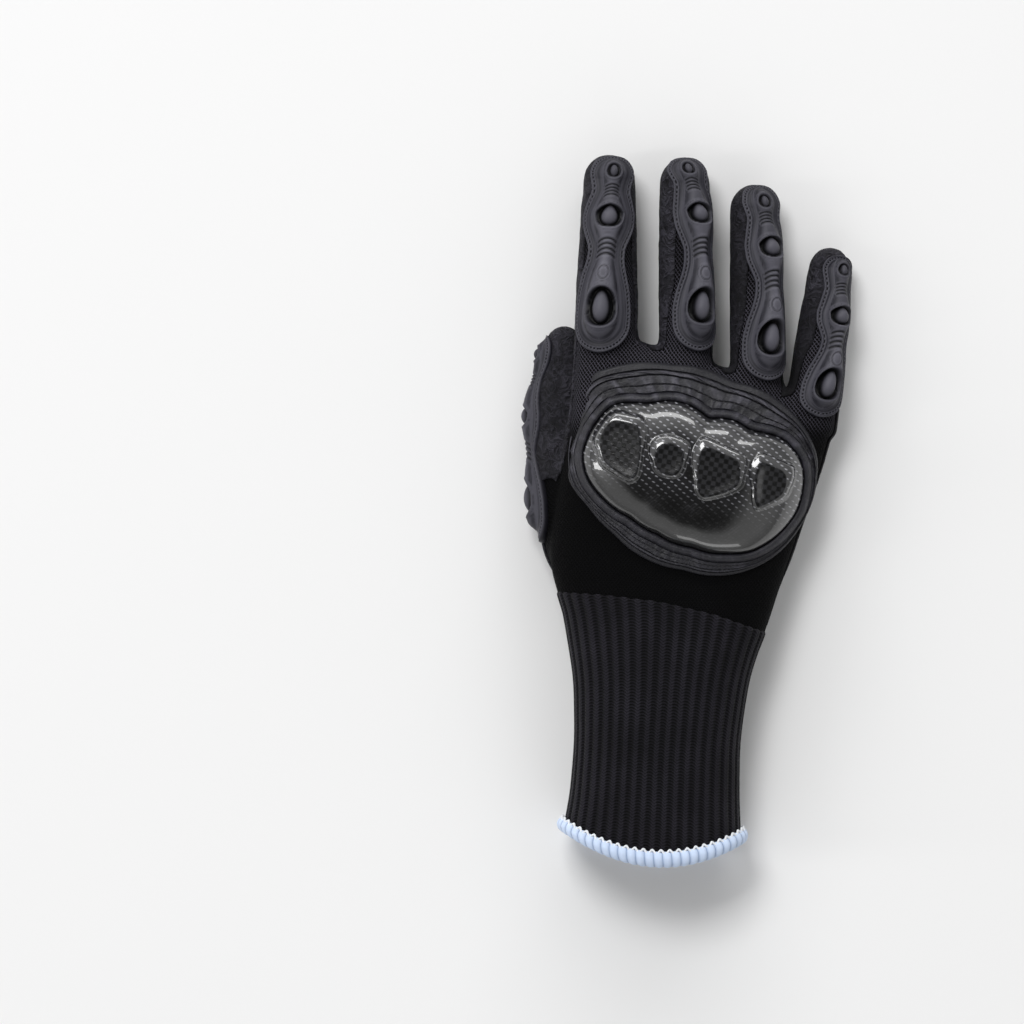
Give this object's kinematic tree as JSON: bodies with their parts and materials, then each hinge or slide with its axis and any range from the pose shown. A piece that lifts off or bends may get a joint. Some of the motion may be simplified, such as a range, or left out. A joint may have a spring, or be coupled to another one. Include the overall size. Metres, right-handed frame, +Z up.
{
  "type": "impact glove",
  "caption": "Right-hand knitted work glove with a dipped palm, a hard domed knuckle shell, moulded finger guards and a bound ribbed cuff, lying palm down.",
  "frame": {"origin": "middle of the underside, on the surface that the glove lies on", "axes": "+Z up out of the back of the hand, +Y from the cuff towards the fingertips, -X towards the thumb"},
  "size_m": [0.1184, 0.25, 0.0459],
  "materials": {
    "knit": "fine black knit, ribbed at the cuff, matt",
    "coating": "dipped foam coating, matt black with a fine grain",
    "guard_rubber": "moulded dark grey rubber, satin",
    "shell": "hard shell, woven fibre pattern under a clear gloss coat",
    "surround": "soft black synthetic leather, creased and stitched",
    "binding": "pale blue overlocked yarn"
  },
  "bodies": {
    "root": {"knit_hand": "knit", "ribbed_cuff": "knit", "palm_coating": "coating", "finger_guard_index": "guard_rubber", "finger_guard_middle": "guard_rubber", "finger_guard_ring": "guard_rubber", "finger_guard_little": "guard_rubber", "thumb_guard": "guard_rubber", "knuckle_shell": "shell", "knuckle_welt": "surround", "knuckle_surround": "surround", "cuff_binding": "binding"}
  },
  "joints": []
}
